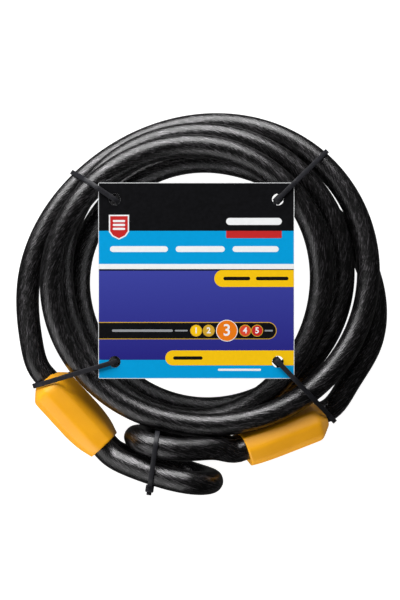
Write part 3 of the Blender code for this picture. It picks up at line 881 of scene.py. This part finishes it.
def add_card_print():
    """The printed design: bands, tabs, a shield and a five-step scale."""
    inks = {
        name: print_material(name, colour, spread, INDIGO_GRADIENT if name == "indigo" else None)
        for name, (colour, spread) in INKS.items()
    }
    top = CARD_CENTRE.z + CARD_THICKNESS / 2
    parts = []
    cutter = make_hole_cutter()
    for outline, ink, layer in printed_shapes():
        outline = [(within_print(x), within_print(y)) for x, y in outline]
        mesh = flat_mesh(outline, top + (layer - 1) * PRINT_STEP, top + layer * PRINT_STEP)
        if reaches_hole(outline):
            mesh = cut_with(mesh, cutter)
        parts.append((mesh, inks[ink]))
    bpy.data.objects.remove(cutter, do_unlink=True)
    low, high = top + (DIGIT_LAYER - 1) * PRINT_STEP, top + DIGIT_LAYER * PRINT_STEP
    for digit, x, _, height, _ in SCALE_STEPS:
        parts.append((digit_mesh(digit, x, SCALE_MIDDLE, height, low, high), inks["white"]))
    item = join_meshes("card_front_print", parts)
    item.location = Vector((CARD_CENTRE.x, CARD_CENTRE.y, 0.0)) + COIL_CENTRE
    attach(item, "root")


# Cable ties

def tie_axes(point, direction):
    """The strap's direction over the card, the direction across it, and where it starts."""
    turn = math.radians(direction)
    along = Vector((math.cos(turn), math.sin(turn), 0.0))
    across = Vector((-along.y, along.x, 0.0))
    return along, across, Vector((point.x, point.y, 0.0))


def strap_cuts(segments, point, direction, reach):
    """Where line segments cross the strap's upright plane: place, height, squareness to it."""
    along, across, origin = tie_axes(point, direction)
    found = []
    for first, second in segments:
        for offset in (-TIE_WIDTH / 2 - GAP, 0.0, TIE_WIDTH / 2 + GAP):
            a = (first - origin).dot(across) - offset
            b = (second - origin).dot(across) - offset
            if a * b >= 0:
                continue
            cut = first.lerp(second, a / (a - b))
            place = (cut - origin).dot(along)
            if abs(place) < reach:
                square = abs((second - first).normalized().dot(across))
                found.append((place, cut.z, square))
    return found


def convex_outline(points):
    ordered = sorted(set((round(x, 8), round(y, 8)) for x, y in points))

    def half(sequence):
        chain = []
        for p in sequence:
            while len(chain) > 1:
                (ax, ay), (bx, by) = chain[-2], chain[-1]
                if (bx - ax) * (p[1] - ay) - (by - ay) * (p[0] - ax) > 0:
                    break
                chain.pop()
            chain.append(p)
        return chain[:-1]

    return half(ordered) + half(reversed(ordered))


def strap_outline(rounds, extra):
    """The tight outline round ovals given as place, height, half breadth and half height."""
    points = []
    for place, height, breadth, rise in rounds:
        for k in range(ROUND_SIDES):
            turn = 2 * math.pi * k / ROUND_SIDES
            x = place + (breadth + extra) * math.cos(turn)
            points.append((x, height + (rise + extra) * math.sin(turn)))
    return convex_outline(points)


def cable_rounds(route, point, direction, reach):
    cuts = strap_cuts(zip(route, route[1:]), point, direction, reach)
    radius = CABLE_RADIUS + STRAP_CLEARANCE
    return [(place, height, radius / square, radius) for place, height, square in cuts]


def hull_rounds(node, point, direction, reach):
    """Small rounds at the corners of a CAD node's section where a strap passes over it."""
    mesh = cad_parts[node].data
    corners = [v.co - COIL_CENTRE for v in mesh.vertices]
    edges = [(corners[e.vertices[0]], corners[e.vertices[1]]) for e in mesh.edges]
    cuts = strap_cuts(edges, point, direction, reach)
    return [(place, height, COVER_CORNER, COVER_CORNER) for place, height, _ in cuts]


def resample(outline, step):
    """Points an even distance apart round a closed outline."""
    line = np.array(outline + outline[:1])
    lengths = np.concatenate([[0.0], np.cumsum(np.linalg.norm(np.diff(line, axis=0), axis=1))])
    count = int(lengths[-1] / step)
    wanted = np.linspace(0.0, lengths[-1], count, endpoint=False)
    return [(np.interp(w, lengths, line[:, 0]), np.interp(w, lengths, line[:, 1])) for w in wanted]


def path_ways(path, i):
    """A closed path's direction at one of its points, and the direction outward there."""
    (ax, ay), (bx, by) = path[(i + 1) % len(path)], path[i - 1]
    run = Vector((ax - bx, ay - by)).normalized()
    return run, Vector((run.y, -run.x))


def strap_section():
    """The strap's cross-section with its long edges rounded: across, and outward."""
    half_width, half_thick = TIE_WIDTH / 2, TIE_THICKNESS / 2
    section = []
    for quarter, (sx, sy) in enumerate(((1, 1), (-1, 1), (-1, -1), (1, -1))):
        for k in range(3):
            turn = math.pi / 2 * (quarter + k / 2)
            section.append((
                sx * (half_width - TIE_EDGE) + TIE_EDGE * math.cos(turn),
                sy * (half_thick - TIE_EDGE) + TIE_EDGE * math.sin(turn)))
    return section


def add_block(body, size, rounding, matrix):
    """A box with rounded edges."""
    made = bmesh.ops.create_cube(body, size=1.0)["verts"]
    bmesh.ops.scale(body, vec=size, verts=made)
    edges = list({e for v in made for e in v.link_edges})
    bevelled = bmesh.ops.bevel(
        body, geom=edges, offset=rounding, segments=3, affect="EDGES", profile=0.5)
    bmesh.ops.transform(body, matrix=matrix, verts=bevelled["verts"])


def add_tie(name, node, point, direction, rounds, head_near, material):
    """A strap with rounded long edges, a head and a cut tail."""
    along, across, origin = tie_axes(point, direction)

    def upright(flat):
        return along * flat.x + Vector((0, 0, flat.y))

    path = resample(strap_outline(rounds, TIE_THICKNESS / 2), STRAP_STEP)
    section = strap_section()
    body = bmesh.new()
    rings = []
    for i, middle in enumerate(path):
        _, out = path_ways(path, i)
        rings.append([
            body.verts.new(origin + upright(Vector(middle) + out * t) + across * w)
            for w, t in section])
    for ring, following in zip(rings, rings[1:] + rings[:1]):
        for k in range(len(section)):
            n = (k + 1) % len(section)
            body.faces.new((ring[k], ring[n], following[n], following[k]))

    near = Vector(head_near)
    i = min(range(len(path)), key=lambda j: (Vector(path[j]) - near).length)
    run, out = path_ways(path, i)
    ways = Matrix((upright(run), across, upright(out))).transposed().to_4x4()
    matrix = Matrix.Translation(origin + upright(Vector(path[i]))) @ ways
    tail = Vector((TIE_THICKNESS, TIE_WIDTH, TIE_TAIL * 2))
    for size, lift, rounding in (
            (TIE_HEAD, TIE_HEAD.z / 2 - TIE_THICKNESS, HEAD_ROUNDING),
            (tail, TIE_HEAD.z - TIE_THICKNESS, TAIL_ROUNDING)):
        add_block(body, size, rounding, matrix @ Matrix.Translation((0, 0, lift)))

    bmesh.ops.recalc_face_normals(body, faces=body.faces)
    bmesh.ops.translate(body, vec=COIL_CENTRE, verts=body.verts)
    mesh = finished_mesh(name, body)
    mesh.materials.append(material)
    mesh.shade_smooth()
    mesh.set_sharp_from_angle(angle=SHARP_ANGLE)
    item = link_object(name, mesh)
    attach(item, "root")
    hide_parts(node)


def card_edge_place(point, direction):
    """How far along the strap the card's edge is."""
    turn = math.radians(direction)
    half = CARD_SIZE / 2
    reaches = []
    for start, centre, way in zip(point, CARD_CENTRE, (math.cos(turn), math.sin(turn))):
        if abs(way) > 0.001:
            reaches.append((centre + math.copysign(half, way) - start) / way)
    return min(reaches)


def add_ties(coil, eyes):
    material = tie_material()
    card_top = CARD_CENTRE.z + CARD_THICKNESS / 2 + CIRCLE_LAYER * PRINT_STEP
    small = CARD_CORNER
    for corner, ((sx, sy), direction) in CORNER_TIES.items():
        point = Vector((
            CARD_CENTRE.x + sx * HOLE_FROM_MIDDLE.x, CARD_CENTRE.y + sy * HOLE_FROM_MIDDLE.y))
        rounds = cable_rounds(coil, point, direction, CORNER_TIE_REACH)
        for node in ("left_cover", "right_cover"):
            rounds += hull_rounds(node, point, direction, CORNER_TIE_REACH)
        rounds.append((-small, card_top, small, small))
        rounds.append((card_edge_place(point, direction) + small, card_top, 3 * small, small))
        innermost = min(r[0] - r[2] for r in rounds)
        node = "cable_tie_" + corner
        add_tie(node + "_strap", node, point, direction, rounds,
                (innermost, CORNER_HEAD_HEIGHT), material)
    rounds = []
    for eye in eyes:
        found = cable_rounds(eye, EYE_TIE_POINT, EYE_TIE_DIRECTION, EYE_TIE_REACH)
        rounds += [r for r in found if r[1] > EYE_TIE_LOWEST]
    outermost = max(rounds, key=lambda r: r[0] + r[1])
    add_tie("eye_tie_strap", "eye_tie", EYE_TIE_POINT, EYE_TIE_DIRECTION, rounds,
            (outermost[0] + outermost[2], outermost[1]), material)


# Camera, floor and light

def add_camera():
    data = bpy.data.cameras.new("camera")
    data.lens = CAMERA_LENS
    data.sensor_width = CAMERA_SENSOR
    data.clip_end = CAMERA_CLIP
    camera = link_object("camera", data)
    camera.location = CAMERA_PLACE + COIL_CENTRE
    bpy.context.scene.camera = camera


def add_area_light(name, lit=None):
    """A soft light aimed at the middle, falling on everything or only on the pieces given."""
    place, size, power = LIGHTS[name]
    data = bpy.data.lights.new(name, "AREA")
    data.shape = "RECTANGLE"
    data.size, data.size_y = size
    data.energy = power
    light = link_object(name, data)
    light.location = place
    light.rotation_euler = (-Vector(place)).to_track_quat("-Z", "Y").to_euler()
    if lit:
        receivers = bpy.data.collections.new(name + "_receivers")
        for item in lit:
            receivers.objects.link(item)
        light.light_linking.receiver_collection = receivers


def add_studio(covers):
    bpy.context.scene.view_settings.view_transform = "Standard"
    body = bmesh.new()
    bmesh.ops.create_grid(body, x_segments=2, y_segments=2, size=FLOOR_HALF)
    mesh = finished_mesh("floor", body)
    mesh.materials.append(floor_material())
    floor = link_object("floor", mesh)
    floor.location = (0, 0, -FLOOR_DROP)
    floor.visible_glossy = False
    world = bpy.data.worlds.new("studio")
    bpy.context.scene.world = world
    world.use_nodes = True
    background = world.node_tree.nodes["Background"]
    background.inputs["Color"].default_value = (1.0, 1.0, 1.0, 1.0)
    background.inputs["Strength"].default_value = WORLD_STRENGTH
    for name in LIGHTS:
        add_area_light(name, covers if name in COVERS_ONLY else None)


def add_cable(coil, left_eye, right_eye):
    """The sheaths of the coil and of the eyes, and the wire core right through them."""
    left, right = LEFT_COVER, RIGHT_COVER
    ls, rs = left["coil_side"], right["coil_side"]
    sheath = sheath_material()
    start, end = FERRULE_START - GAP, FERRULE_END + GAP
    sheaths = {
        "coil_sheath": [leg_point(left, ls, start), *coil, leg_point(right, rs, start)],
        "left_eye_sheath": [leg_point(left, ls, end), *left_eye, leg_point(left, -ls, end)],
        "right_eye_sheath": [leg_point(right, rs, end), *right_eye, leg_point(right, -rs, end)],
    }
    for node, line in sheaths.items():
        item = add_sheath(node + "_smoked", line, sheath)
        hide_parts(node)
        if node == "coil_sheath":
            path = [tuple(point + COIL_CENTRE) for point in even(line, RING_STEP)]
            line_length(line)
    tail = POCKET_START + 2 * GAP
    core = [leg_point(left, -ls, tail), *reversed(left_eye), *coil, *right_eye, leg_point(right, -rs, tail)]
    item = add_core("steel_wire_strands", core, strand_material())
    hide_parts("steel_wire_core")


def finish_cad_nodes():
    """Materials for the CAD's own meshes that stay in view."""
    aluminium = aluminium_material()
    stock = print_material("card_stock", *CARD_STOCK)
    for node, material in (
            ("left_ferrule", aluminium), ("printed_card", stock), ("right_ferrule", aluminium)):
        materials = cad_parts[node].data.materials
        materials.clear()
        materials.append(material)


def build():
    add_camera()
    coil, left_eye, right_eye = whole_routes()
    add_cable(coil, left_eye, right_eye)
    plastic = cover_material()
    covers = [
        add_cover("left_cover", LEFT_COVER, plastic, LEFT_CLOSING),
        add_cover("right_cover", RIGHT_COVER, plastic, RIGHT_CLOSING),
    ]
    finish_cad_nodes()
    add_card_print()
    add_ties(coil, (left_eye, right_eye))
    add_studio(covers)


build()
